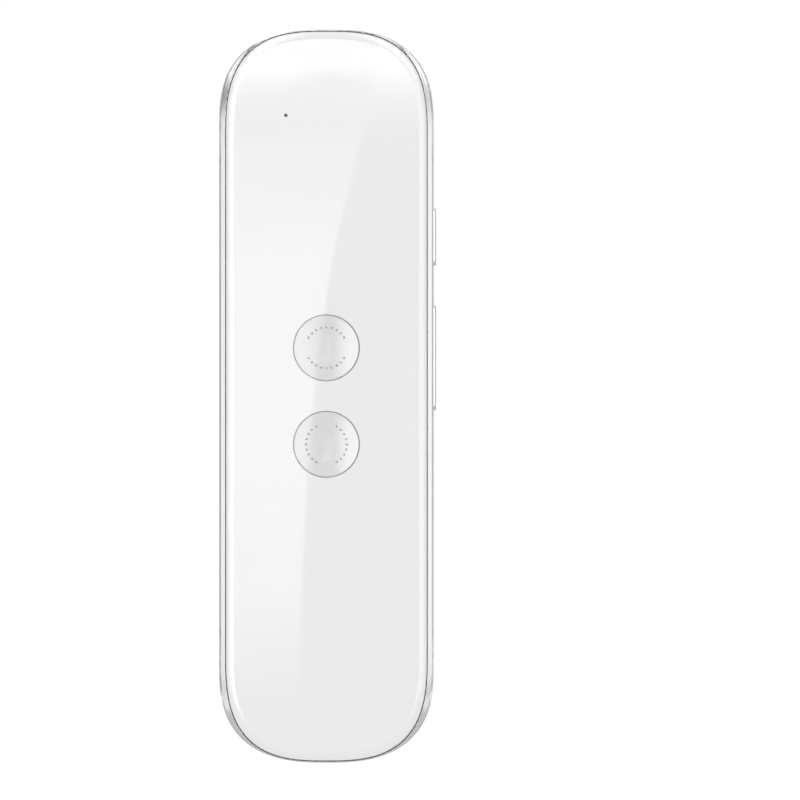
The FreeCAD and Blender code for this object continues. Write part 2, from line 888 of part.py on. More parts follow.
def battery():
    low_x = "-battery_half_width"
    high_x = "battery_half_width"
    back = "battery_front + battery_thick"
    cell = block("cell_block", (low_x, high_x), ("battery_front", back), ("battery_bottom", "battery_top"))
    keep(rounded("cell", cell, 1.4, along_z), "battery_cell")
    keep(block(
        "cell_tape", ("-battery_half_width + 2", "battery_half_width - 2"), ("flange_back", "battery_front"),
        ("battery_bottom + 3", "battery_top - 3"),
    ), "battery_tape")
    keep(block(
        "cell_board", (-9, 9), ("battery_front + 1.6", "battery_front + 3.2"),
        ("battery_top", "battery_top + 3.0"),
    ), "battery_protection_board")
    leads = []
    for number, x in enumerate((-1.6, 1.6)):
        leads.append(wire_run("lead%d" % number, 0.35, [
            (x, 0.0, size("battery_top") + 3.0),
            (x, 0.0, size("battery_top") + 4.2),
            (x, 1.0, size("battery_top") + 5.4),
            (x, 1.0, -14.9),
        ]))
    keep(group("leads", *leads), "battery_leads")


def wire_run(name, radius, points):
    """A round wire through the points, with an arc at each turn."""
    spots = [Vector(*point) for point in points]
    edges = []
    start = spots[0]
    for before, corner, after in zip(spots, spots[1:], spots[2:]):
        shorter = min((corner - before).Length, (after - corner).Length)
        reach = 0.45 * shorter
        first = corner + (before - corner).normalize() * reach
        last = corner + (after - corner).normalize() * reach
        turn = (corner - before).getAngle(after - corner)
        bisector = ((before - corner).normalize() + (after - corner).normalize()).normalize()
        bend = reach / math.tan(turn / 2)
        middle = corner + bisector * (math.hypot(reach, bend) - bend)
        edges.append(Part.makeLine(start, first))
        edges.append(Part.Arc(first, middle, last).toShape())
        start = last
    edges.append(Part.makeLine(start, spots[-1]))
    path = Part.Wire(edges)
    ring = Part.Wire([Part.makeCircle(radius, spots[0], spots[1] - spots[0])])
    thing = doc.addObject("Part::Feature", name)
    thing.Shape = path.makePipeShell([ring], True, False)
    return thing


# Loudspeaker, behind the grille

def loudspeaker():
    half_x = "speaker_half_width"
    half_z = "speaker_half_height"
    low_z = "grille_level - " + half_z
    high_z = "grille_level + " + half_z
    basket = block("basket_block", ("-" + half_x, half_x), ("speaker_back", "speaker_front"), (low_z, high_z))
    hollow = block(
        "basket_hollow", ("-%s + 1" % half_x, half_x + " - 1"), ("speaker_back + 0.5", "speaker_front + 1"),
        (low_z + " + 1", high_z + " - 1"),
    )
    keep(cut("basket", rounded("basket_soft", basket, 1.0, along_y), hollow), "speaker_frame")
    yoke = block(
        "yoke", (-5, 5), ("speaker_back + 0.5", "speaker_back + 1.9"),
        ("grille_level - 7", "grille_level + 7"),
    )
    keep(yoke, "speaker_magnet")
    coil = cut(
        "coil_ring",
        block(
            "coil_outer", (-3.6, 3.6), ("speaker_front - 1.25", "speaker_front - 0.55"),
            ("grille_level - 5.6", "grille_level + 5.6"),
        ),
        block(
            "coil_inner", (-3.2, 3.2), ("speaker_back", "speaker_front"),
            ("grille_level - 5.2", "grille_level + 5.2"),
        ),
    )
    keep(coil, "voice_coil")
    keep(block(
        "membrane", ("-%s + 1" % half_x, half_x + " - 1"), ("speaker_front - 0.55", "speaker_front - 0.4"),
        (low_z + " + 1", high_z + " - 1"),
    ), "speaker_cone")
    mesh_y = ("seat_level - 0.15", "seat_level")
    keep(block(
        "mesh", ("-seat_half_width + 0.2", "seat_half_width - 0.2"), mesh_y,
        ("grille_level - seat_half_height + 0.2", "grille_level + seat_half_height - 0.2"),
    ), "speaker_mesh")
    ring = block(
        "foam_outer", ("-" + half_x, half_x), ("speaker_front", "seat_level - 0.15"), (low_z, high_z),
    )
    inside = block(
        "foam_inner", ("-%s + 0.9" % half_x, half_x + " - 0.9"), (2, 5),
        (low_z + " + 0.9", high_z + " - 0.9"),
    )
    keep(cut("foam", ring, inside), "speaker_gasket")
    leads = []
    for number, x in enumerate((4.0, 6.0)):
        leads.append(wire_run("voice_lead%d" % number, 0.25, [
            (x, 0.4, size("grille_level") - size("speaker_half_height")),
            (x, 0.4, 31.4),
            (x, -0.1, 30.4),
            (x, size("board_back"), 30.4),
        ]))
    keep(group("voice_leads", *leads), "speaker_leads")


# Screws

def screw(name, head_radius, radius, head_from, head_to, tip, spot):
    """A flat-headed machine screw along Y with a cross recess in its head."""
    direction = 1 if tip > head_to else -1
    low, high = sorted((head_from, head_to))
    head = rod(name + "_head", head_radius, "y", low, high, spot)
    shank_low, shank_high = sorted((head_to, tip))
    shank = rod(name + "_shank", radius, "y", shank_low, shank_high, spot)
    x, z = spot
    slot_y = sorted((head_from - direction, head_from + direction * 0.35))
    cross = [
        block(name + "_slot0", (x - 0.18, x + 0.18), slot_y, (z - head_radius * 0.6, z + head_radius * 0.6)),
        block(name + "_slot1", (x - head_radius * 0.6, x + head_radius * 0.6), slot_y, (z - 0.18, z + 0.18)),
    ]
    return cut(name, fuse(name + "_solid", head, shank), *cross)


def screws():
    case = []
    for number, (x, z) in enumerate(boss_places):
        side = -1 if x.startswith("-") else 1
        case.append(screw(
            "case_screw%d" % number, 1.4, 0.6, size("frame_front") + 0.05, size("parting"),
            size("flange_back") + 3.0, (side * size(x.lstrip("-")), size(z)),
        ))
    keep(group("case_screw_set", *case), "case_screws")
    board = [
        screw(
            "board_screw%d" % number, 1.2, 0.5, size("board_back") + 0.7, size("board_back"),
            size("board_front") - 1.1, spot,
        )
        for number, spot in enumerate(post_places)
    ]
    keep(group("board_screw_set", *board), "board_screws")


back_shell()
front_bezel()
front_panel()
panel_seal()
panel_tape()
mid_frame()
front_buttons()
side_keys()
side_switches()
usb_socket()
reset_switch()
main_board()
board_parts()
battery()
loudspeaker()
screws()
doc.recompute()

# Every object is sound, and every sub-part is one or more valid solids
for thing in doc.Objects:
    if {"Invalid", "Error"} & set(thing.State):
        raise RuntimeError("failed: " + thing.Name)
os.makedirs("parts", exist_ok=True)
for node in nodes:
    if node.Shape.isNull() or not node.Shape.isValid() or not node.Shape.Solids:
        raise RuntimeError("no valid solid: " + node.Label)
for node in nodes:
    node.Shape.exportStep("parts/%s.step" % node.Label)
    print("%-26s %8.2f mm3  %d solid" % (node.Label, node.Shape.Volume, len(node.Shape.Solids)))
print(len(nodes), "nodes")
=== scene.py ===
import bmesh
import bpy
import math
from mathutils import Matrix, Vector


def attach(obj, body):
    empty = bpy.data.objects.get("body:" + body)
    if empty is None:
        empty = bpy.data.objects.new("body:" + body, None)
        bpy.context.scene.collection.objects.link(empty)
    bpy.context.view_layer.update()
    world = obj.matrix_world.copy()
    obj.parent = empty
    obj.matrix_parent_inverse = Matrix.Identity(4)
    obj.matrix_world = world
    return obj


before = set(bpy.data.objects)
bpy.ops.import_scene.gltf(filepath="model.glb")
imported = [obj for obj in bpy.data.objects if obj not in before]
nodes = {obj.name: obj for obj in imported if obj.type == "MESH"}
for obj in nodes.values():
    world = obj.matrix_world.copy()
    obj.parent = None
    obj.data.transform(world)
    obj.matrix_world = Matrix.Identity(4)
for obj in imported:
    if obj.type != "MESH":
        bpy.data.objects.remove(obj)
bpy.context.view_layer.update()
scene = bpy.context.scene
scene.view_settings.view_transform = "Standard"
mm = 0.001


# Colours are written as sRGB hex and used as linear values
def linear(hexColour):
    channels = [int(hexColour[i:i + 2], 16) / 255 for i in (1, 3, 5)]
    return [c / 12.92 if c <= 0.04045 else ((c + 0.055) / 1.055) ** 2.4 for c in channels] + [1.0]


# Adds a node: settings are its properties or its sockets' values, links are outputs joined to its sockets
def addNode(tree, kind, settings=None, links=None):
    node = tree.nodes.new(kind)
    for name, value in (settings or {}).items():
        if isinstance(name, str) and hasattr(node, name):
            setattr(node, name, value)
        else:
            node.inputs[name].default_value = value
    for socket, output in (links or {}).items():
        tree.links.new(output, node.inputs[socket])
    return node


# Camera: a long lens, level, in front of the object and a little to its right
view = {
    "frameWidth": 154.3 * mm,    # what the picture spans at the object
    "distance": 1.6,
    "aside": 14.14 * mm,         # the object stands left of the picture's middle
    "below": -0.75 * mm,
}


def makeCamera():
    data = bpy.data.cameras.new("camera")
    data.sensor_width = 36
    data.lens = data.sensor_width * view["distance"] / view["frameWidth"]
    data.clip_start = 0.05
    data.clip_end = 20
    camera = bpy.data.objects.new("camera", data)
    camera.location = (view["aside"], -view["distance"], view["below"])
    camera.rotation_euler = (math.radians(90), 0, 0)
    scene.collection.objects.link(camera)
    scene.camera = camera


# Studio, in metres: a white room, four soft lamps and a pale floor below. Gloss sees a white tent
# instead of the lamps, with bright cloths and grey flags hung on it, and one lamp's long streak.
studio = {
    "ambient": 0.66,
    "floorLevel": -0.13,
    "floorSize": 6.0,
    "floorShare": 0.8,           # how much of the floor's look is its own light
    "floorGlow": 1.12,
}
lamps = {
    # where each stands, its width and height in metres, its power in watts
    "left": {"place": (-0.85, -0.50, 0.05), "size": (0.30, 1.0), "power": 2.1},
    "right": {"place": (0.85, -0.50, 0.05), "size": (0.30, 1.0), "power": 1.75},
    "overhead": {"place": (0.0, -0.45, 0.95), "size": (0.8, 0.5), "power": 1.9},
    "behind": {"place": (0.1, 0.85, 0.45), "size": (0.9, 0.5), "power": 2.6},
}


def makeLamps():
    for name, lamp in lamps.items():
        data = bpy.data.lights.new(name, "AREA")
        data.shape = "RECTANGLE"
        data.size, data.size_y = lamp["size"]
        data.energy = lamp["power"]
        box = bpy.data.objects.new(name, data)
        box.location = lamp["place"]
        box.rotation_euler = (-box.location).to_track_quat("-Z", "Y").to_euler()
        box.visible_glossy = False
        scene.collection.objects.link(box)


# 1 for rays that look for the background: from the camera, off gloss and through clear things
def lookingRays(tree):
    rays = addNode(tree, "ShaderNodeLightPath")
    seen = addNode(tree, "ShaderNodeMath", {"operation": "MAXIMUM"}, {
        0: rays.outputs["Is Camera Ray"], 1: rays.outputs["Is Glossy Ray"],
    })
    return addNode(tree, "ShaderNodeMath", {"operation": "MAXIMUM"}, {
        0: seen.outputs[0], 1: rays.outputs["Is Transmission Ray"],
    }).outputs[0]


def makeWorld():
    world = bpy.data.worlds.new("studio")
    scene.world = world
    world.use_nodes = True
    tree = world.node_tree
    tree.nodes.clear()
    looking = lookingRays(tree)
    ambient = addNode(tree, "ShaderNodeBackground", {
        "Color": linear("#FFFFFF"), "Strength": studio["ambient"],
    })
    white = addNode(tree, "ShaderNodeBackground", {"Color": linear("#FFFFFF"), "Strength": 1.0})
    mix = addNode(tree, "ShaderNodeMixShader", None, {
        0: looking, 1: ambient.outputs[0], 2: white.outputs[0],
    })
    addNode(tree, "ShaderNodeOutputWorld", None, {"Surface": mix.outputs[0]})


def startEmpty(name):
    material = bpy.data.materials.new(name)
    material.use_nodes = True
    material.node_tree.nodes.clear()
    return material, material.node_tree


def makeFloor():
    half = studio["floorSize"] / 2
    level = studio["floorLevel"]
    corners = [(-half, -half, level), (half, -half, level), (half, half, level), (-half, half, level)]
    mesh = bpy.data.meshes.new("floor")
    mesh.from_pydata(corners, [], [(0, 1, 2, 3)])
    floor = bpy.data.objects.new("floor", mesh)
    scene.collection.objects.link(floor)
    # White paper, mostly lit from itself for the camera, so that it joins the white room and
    # still keeps the object's shadow
    material, tree = startEmpty("white paper floor")
    share = addNode(tree, "ShaderNodeMath", {"operation": "MULTIPLY", 1: studio["floorShare"]}, {
        0: lookingRays(tree),
    })
    fibres = addNode(tree, "ShaderNodeTexNoise", {"Scale": 900.0, "Detail": 3.0})    # about 1 mm apart
    tone = addNode(tree, "ShaderNodeMix", {"data_type": "RGBA"}, {0: fibres.outputs["Fac"]})
    tone.inputs[6].default_value = linear("#F6F6F5")
    tone.inputs[7].default_value = linear("#FFFFFF")
    paper = addNode(tree, "ShaderNodeBsdfDiffuse", None, {"Color": tone.outputs[2]})
    glow = addNode(tree, "ShaderNodeEmission", {"Color": linear("#FFFFFF"), "Strength": studio["floorGlow"]})
    mix = addNode(tree, "ShaderNodeMixShader", None, {
        0: share.outputs[0], 1: paper.outputs[0], 2: glow.outputs[0],
    })
    addNode(tree, "ShaderNodeOutputMaterial", None, {"Surface": mix.outputs[0]})
    mesh.materials.append(material)


# Things that only gloss sees
def forGlossOnly(thing):
    scene.collection.objects.link(thing)
    thing.visible_camera = False
    thing.visible_diffuse = False
    thing.visible_transmission = False
    thing.visible_shadow = False


# The tent: azimuth 0 is in front of the object, 90 on its right, 180 behind; degrees. Each cloth or
# flag spans its degrees round and up, and fades into what hangs there over its soft edge; a later
# one covers an earlier one. The front is open where the panel's reflections leave for the cards.
tent = {
    "radius": 0.5,
    "step": 2,
    "low": -20,
    "high": 88,
    "openAround": 4,
    "openUp": 14,
}
cloths = {
    "frontLeft": {"around": (-36, -5), "up": (-12, 60), "soft": 3, "strength": 4.8},
    "frontLeftHeart": {"around": (-19, -8), "up": (-12, 60), "soft": 4, "strength": 6.5},
    "frontRight": {"around": (5, 36), "up": (-12, 60), "soft": 4, "strength": 3.2},
    "topFront": {"around": (9, 36), "up": (18, 62), "soft": 4, "strength": 5.5},
    "leftGleam": {"around": (-58, -38), "up": (-90, 60), "soft": 3, "strength": 1.1},
    "rightGleam": {"around": (38, 58), "up": (-90, 60), "soft": 3, "strength": 1.2},
    "leftFlag": {"around": (-80, -58), "up": (-90, 60), "soft": 3, "strength": 0.28},
    "leftSide": {"around": (-106, -80), "up": (-90, 60), "soft": 5, "strength": 0.75},
    "leftBackFlag": {"around": (-138, -108), "up": (-90, 60), "soft": 4, "strength": 0.25},
    "leftBack": {"around": (-168, -142), "up": (-90, 60), "soft": 5, "strength": 1.5},
    "backFlag": {"around": (148, 176), "up": (-90, 60), "soft": 7, "strength": 0.3},
    "rightBack": {"around": (118, 142), "up": (-90, 60), "soft": 5, "strength": 1.3},
    "rightBackFlag": {"around": (96, 114), "up": (-90, 60), "soft": 4, "strength": 0.3},
    "rightSide": {"around": (78, 94), "up": (-90, 60), "soft": 4, "strength": 0.9},
    "rightFlag": {"around": (60, 76), "up": (-90, 60), "soft": 3, "strength": 0.35},
    "upperLeftFlag": {"around": (-60, -34), "up": (10.5, 19.5), "soft": 4, "strength": 0.42},
    "upperRightFlag": {"around": (34, 60), "up": (10, 21), "soft": 4, "strength": 0.75},
    "lowerLeftFlag": {"around": (-60, -34), "up": (-40, -10), "soft": 4, "strength": 0.8},
    "lowerRightFlag": {"around": (34, 60), "up": (-40, -10), "soft": 4, "strength": 0.75},
    "topFlag": {"around": (-200, 200), "up": (64, 95), "soft": 6, "strength": 1.3},
}
# A grey mat on the floor round the foot, which darkens the lower edges
mat = {
    "radius": 0.30,
    "above": 0.004,
    "strength": 0.66,
}


def clothStrength(around, up):
    strength = 1.0
    for cloth in cloths.values():
        share = 1.0
        for angle, span in ((around, cloth["around"]), (up, cloth["up"])):
            inside = min(angle - span[0], span[1] - angle)
            share *= min(max(inside / cloth["soft"] + 0.5, 0.0), 1.0)
        strength += (cloth["strength"] - strength) * share
    return strength


def makeTent():
    turns = list(range(-180, 180, tent["step"]))
    heights = list(range(tent["low"], tent["high"] + 1, tent["step"]))
    corners = []
    strengths = []
    for up in heights:
        for around in turns:
            flat = tent["radius"] * math.cos(math.radians(up))
            corners.append((
                flat * math.sin(math.radians(around)),
                -flat * math.cos(math.radians(around)),
                tent["radius"] * math.sin(math.radians(up)),
            ))
            strengths.append(clothStrength(around, up))
    count = len(turns)
    faces = []
    for row in range(len(heights) - 1):
        for column in range(count):
            after = (column + 1) % count
            middle = (turns[column] + tent["step"] / 2, heights[row] + tent["step"] / 2)
            if abs(middle[0]) < tent["openAround"] and abs(middle[1]) < tent["openUp"]:
                continue
            faces.append((row * count + column, row * count + after,
                          (row + 1) * count + after, (row + 1) * count + column))
    mesh = bpy.data.meshes.new("tent")
    mesh.from_pydata(corners, [], faces)
    mesh.attributes.new("strength", "FLOAT", "POINT").data.foreach_set("value", strengths)
    forGlossOnly(bpy.data.objects.new("tent", mesh))
    material, tree = startEmpty("tent cloth")
    strength = addNode(tree, "ShaderNodeAttribute", {"attribute_name": "strength"})
    glow = addNode(tree, "ShaderNodeEmission", {"Color": linear("#FFFFFF")}, {
        "Strength": strength.outputs["Fac"],
    })
    addNode(tree, "ShaderNodeOutputMaterial", None, {"Surface": glow.outputs[0]})
    mesh.materials.append(material)


def makeMat():
    mesh = bpy.data.meshes.new("mat")
    work = bmesh.new()
    bmesh.ops.create_circle(work, cap_ends=True, segments=64, radius=mat["radius"])
    work.to_mesh(mesh)
    work.free()
    thing = bpy.data.objects.new("mat", mesh)
    thing.location.z = studio["floorLevel"] + mat["above"]
    forGlossOnly(thing)
    material, tree = startEmpty("grey mat")
    glow = addNode(tree, "ShaderNodeEmission", {"Color": linear("#FFFFFF"), "Strength": mat["strength"]})
    addNode(tree, "ShaderNodeOutputMaterial", None, {"Surface": glow.outputs[0]})
    mesh.materials.append(material)


# Cards stand in one plane just in front of the camera. What the front panel, as a flat mirror,
# shows at a point of itself lies at that point's image in the card plane.
cardPlane = {
    "distance": 1.42,
    "panel": -6.2 * mm,
}


def onCard(x, z):
    spread = cardPlane["distance"] / (view["distance"] + cardPlane["panel"])
    return (
        x * mm * (1 + spread) - view["aside"] * spread,
        cardPlane["panel"] - cardPlane["distance"],
        z * mm * (1 + spread) - view["below"] * spread,
    )


# A card's fade gives its strength by height on the panel, in mm
def makeCard(name, corners, fade):
    mesh = bpy.data.meshes.new(name)
    mesh.from_pydata(corners, [], [tuple(range(len(corners)))])
    forGlossOnly(bpy.data.objects.new(name, mesh))
    material, tree = startEmpty(name)
    place = addNode(tree, "ShaderNodeNewGeometry")
    split = addNode(tree, "ShaderNodeSeparateXYZ", None, {0: place.outputs["Position"]})
    height = addNode(tree, "ShaderNodeMapRange", {
        "From Min": onCard(0, fade[0][0])[2], "From Max": onCard(0, fade[-1][0])[2],
    }, {"Value": split.outputs["Z"]})
    curve = addNode(tree, "ShaderNodeValToRGB", None, {0: height.outputs[0]})
    brightest = max(strength for level, strength in fade)
    while len(curve.color_ramp.elements) < len(fade):
        curve.color_ramp.elements.new(0.5)
    for element, (level, strength) in zip(curve.color_ramp.elements, fade):
        element.position = (level - fade[0][0]) / (fade[-1][0] - fade[0][0])
        element.color = [strength / brightest] * 3 + [1.0]
    glow = addNode(tree, "ShaderNodeEmission", {"Strength": brightest}, {"Color": curve.outputs[0]})
    addNode(tree, "ShaderNodeOutputMaterial", None, {"Surface": glow.outputs[0]})
    mesh.materials.append(material)


streak = {
    # its right edge on the panel, (x, z) in mm, from the top down
    "edge": [(11.6, 70), (9.3, 60), (1.0, 26.2), (-1.1, 10.8), (-3.4, -9.4), (-4.8, -39.3), (-5.4, -72)],
    "left": -24,
    "fade": [    # height on the panel and strength there
        (-72, 1.0), (-60.5, 1.0), (-52, 1.8), (-45, 2.3), (-37, 3.2),
        (-10, 3.75), (24, 3.7), (40, 2.6), (56, 2.1), (72, 2.1),
    ],
}
topGlow = {
    "sides": (-24, 24),
    "fade": [(50, 1.0), (56, 2.2), (61, 4.4), (64, 6.5), (76, 7.0)],
}


def makeCards():
    edge = [onCard(x, z) for x, z in streak["edge"]]
    left = [onCard(streak["left"], streak["edge"][end][1]) for end in (-1, 0)]
    makeCard("streak", edge + left, streak["fade"])
    low, high = topGlow["fade"][0][0], topGlow["fade"][-1][0]
    near, far = topGlow["sides"]
    corners = [onCard(x, z) for x, z in ((near, low), (far, low), (far, high), (near, high))]
    makeCard("top glow", corners, topGlow["fade"])


makeCamera()
makeWorld()
makeLamps()
makeFloor()
makeTent()
makeMat()
makeCards()
print("camera and studio made")


# Materials. Each starts from what the real one is. Its pattern is a bump and a small change of
# colour, and larger patches change how rough it is; sizes and depths are in mm.

def startMaterial(name, settings):
    material = bpy.data.materials.new(name)
    material.use_nodes = True
    shader = material.node_tree.nodes["Principled BSDF"]
    for socket, value in settings.items():
        shader.inputs[socket].default_value = value
    return material, material.node_tree, shader


# The pattern's height from 0 to 1, by its kind
def addPattern(tree, kind, size, place):
    scale = 1 / (size * mm)
    if kind == "grain":
        noise = addNode(tree, "ShaderNodeTexNoise", {"Scale": scale, "Detail": 3.0}, {"Vector": place})
        return noise.outputs["Fac"]
    if kind == "cells":
        return addNode(tree, "ShaderNodeTexVoronoi", {"Scale": scale}, {"Vector": place}).outputs["Distance"]
    if kind == "brushed":
        # Fine lines along Z, thirty times as long as they are wide
        stretched = addNode(tree, "ShaderNodeMapping", {"Scale": (1.0, 1.0, 1 / 30)}, {"Vector": place})
        lines = addNode(tree, "ShaderNodeTexNoise", {"Scale": scale, "Detail": 2.0}, {
            "Vector": stretched.outputs[0],
        })
        return lines.outputs["Fac"]
    # Wave bands are 0.314 units apart at scale 1, so this puts one thread in each size
    threads = [
        addNode(tree, "ShaderNodeTexWave", {"bands_direction": way, "Scale": 0.314 * scale}, {
            "Vector": place,
        }).outputs["Fac"]
        for way in (("X", "Z") if kind == "weave" else ("Z",))
    ]
    if kind == "weave":
        woven = addNode(tree, "ShaderNodeMath", {"operation": "MAXIMUM"}, {0: threads[0], 1: threads[1]})
        return woven.outputs[0]
    return threads[0]


def makeFinish(name, settings, look):
    material, tree, shader = startMaterial(name, settings)
    place = addNode(tree, "ShaderNodeTexCoord").outputs["Object"]
    pattern = addPattern(tree, look["pattern"], look["size"], place)
    bump = addNode(tree, "ShaderNodeBump", {"Strength": 1.0, "Distance": look["depth"] * mm}, {
        "Height": pattern,
    })
    tree.links.new(bump.outputs["Normal"], shader.inputs["Normal"])
    patches = addNode(tree, "ShaderNodeTexNoise", {"Scale": 1 / (look["patch"] * mm), "Detail": 2.0}, {
        "Vector": place,
    })
    smooth, rough = look["roughness"]
    # Noise seldom leaves 0.3 to 0.7
    roughness = addNode(tree, "ShaderNodeMapRange", {
        "From Min": 0.3, "From Max": 0.7, "To Min": smooth, "To Max": rough,
    }, {"Value": patches.outputs["Fac"]})
    tree.links.new(roughness.outputs[0], shader.inputs["Roughness"])
    tint = addNode(tree, "ShaderNodeMix", {"data_type": "RGBA"}, {0: pattern})
    tint.inputs[6].default_value = linear(look["tints"][0])
    tint.inputs[7].default_value = linear(look["tints"][1])
    tree.links.new(tint.outputs[2], shader.inputs["Base Color"])
    return material


# The front buttons, in mm: how far each is from the middle, and its dish, which is part of a ball
buttons = {
    "height": 9.27,
    "dishRadius": 51.95,
    "centre": -57.72,      # the ball's middle, along Y
    "near": 0.03,          # what counts as on the dish
}


# White ABS cap under a flat clear lens: a soft sheen from the dish, a sharp one from the lens
def makeButtonFinish():
    material = makeFinish("ABS, white, under a clear lens", {
        "IOR": 1.53, "Coat Weight": 1.0, "Coat Roughness": 0.02, "Coat IOR": 1.49,
    }, {
        "pattern": "grain", "size": 0.3, "depth": 0.0003, "patch": 5, "roughness": (0.09, 0.13),
        "tints": ("#D6D6D7", "#DADADA"),
    })
    tree = material.node_tree
    shader = tree.nodes["Principled BSDF"]
    towardsFront = addNode(tree, "ShaderNodeVectorTransform", {
        "vector_type": "NORMAL", "convert_from": "OBJECT", "convert_to": "WORLD", "Vector": (0.0, -1.0, 0.0),
    })
    tree.links.new(towardsFront.outputs[0], shader.inputs["Coat Normal"])
    # On the dish, the sheen follows the true round surface, so that no triangle shows in it
    place = addNode(tree, "ShaderNodeTexCoord").outputs["Object"]
    height = addNode(tree, "ShaderNodeSeparateXYZ", None, {0: place}).outputs["Z"]
    side = addNode(tree, "ShaderNodeMath", {"operation": "SIGN"}, {0: height}).outputs[0]
    middle = addNode(tree, "ShaderNodeMath", {"operation": "MULTIPLY", 1: buttons["height"] * mm}, {0: side})
    centre = addNode(tree, "ShaderNodeCombineXYZ", {"Y": buttons["centre"] * mm}, {"Z": middle.outputs[0]})
    inward = addNode(tree, "ShaderNodeVectorMath", {"operation": "SUBTRACT"}, {
        0: centre.outputs[0], 1: place,
    })
    distance = addNode(tree, "ShaderNodeVectorMath", {"operation": "LENGTH"}, {0: inward.outputs[0]})
    onDish = addNode(tree, "ShaderNodeMath", {
        "operation": "COMPARE", 1: buttons["dishRadius"] * mm, 2: buttons["near"] * mm,
    }, {0: distance.outputs["Value"]})
    curved = addNode(tree, "ShaderNodeVectorTransform", {
        "vector_type": "NORMAL", "convert_from": "OBJECT", "convert_to": "WORLD",
    }, {0: inward.outputs[0]})
    shown = addNode(tree, "ShaderNodeNewGeometry").outputs["Normal"]
    normal = addNode(tree, "ShaderNodeMix", {"data_type": "VECTOR"}, {
        0: onDish.outputs[0], 4: shown, 5: curved.outputs[0],
    })
    bump = shader.inputs["Normal"].links[0].from_node
    tree.links.new(normal.outputs[1], bump.inputs["Normal"])
    return material


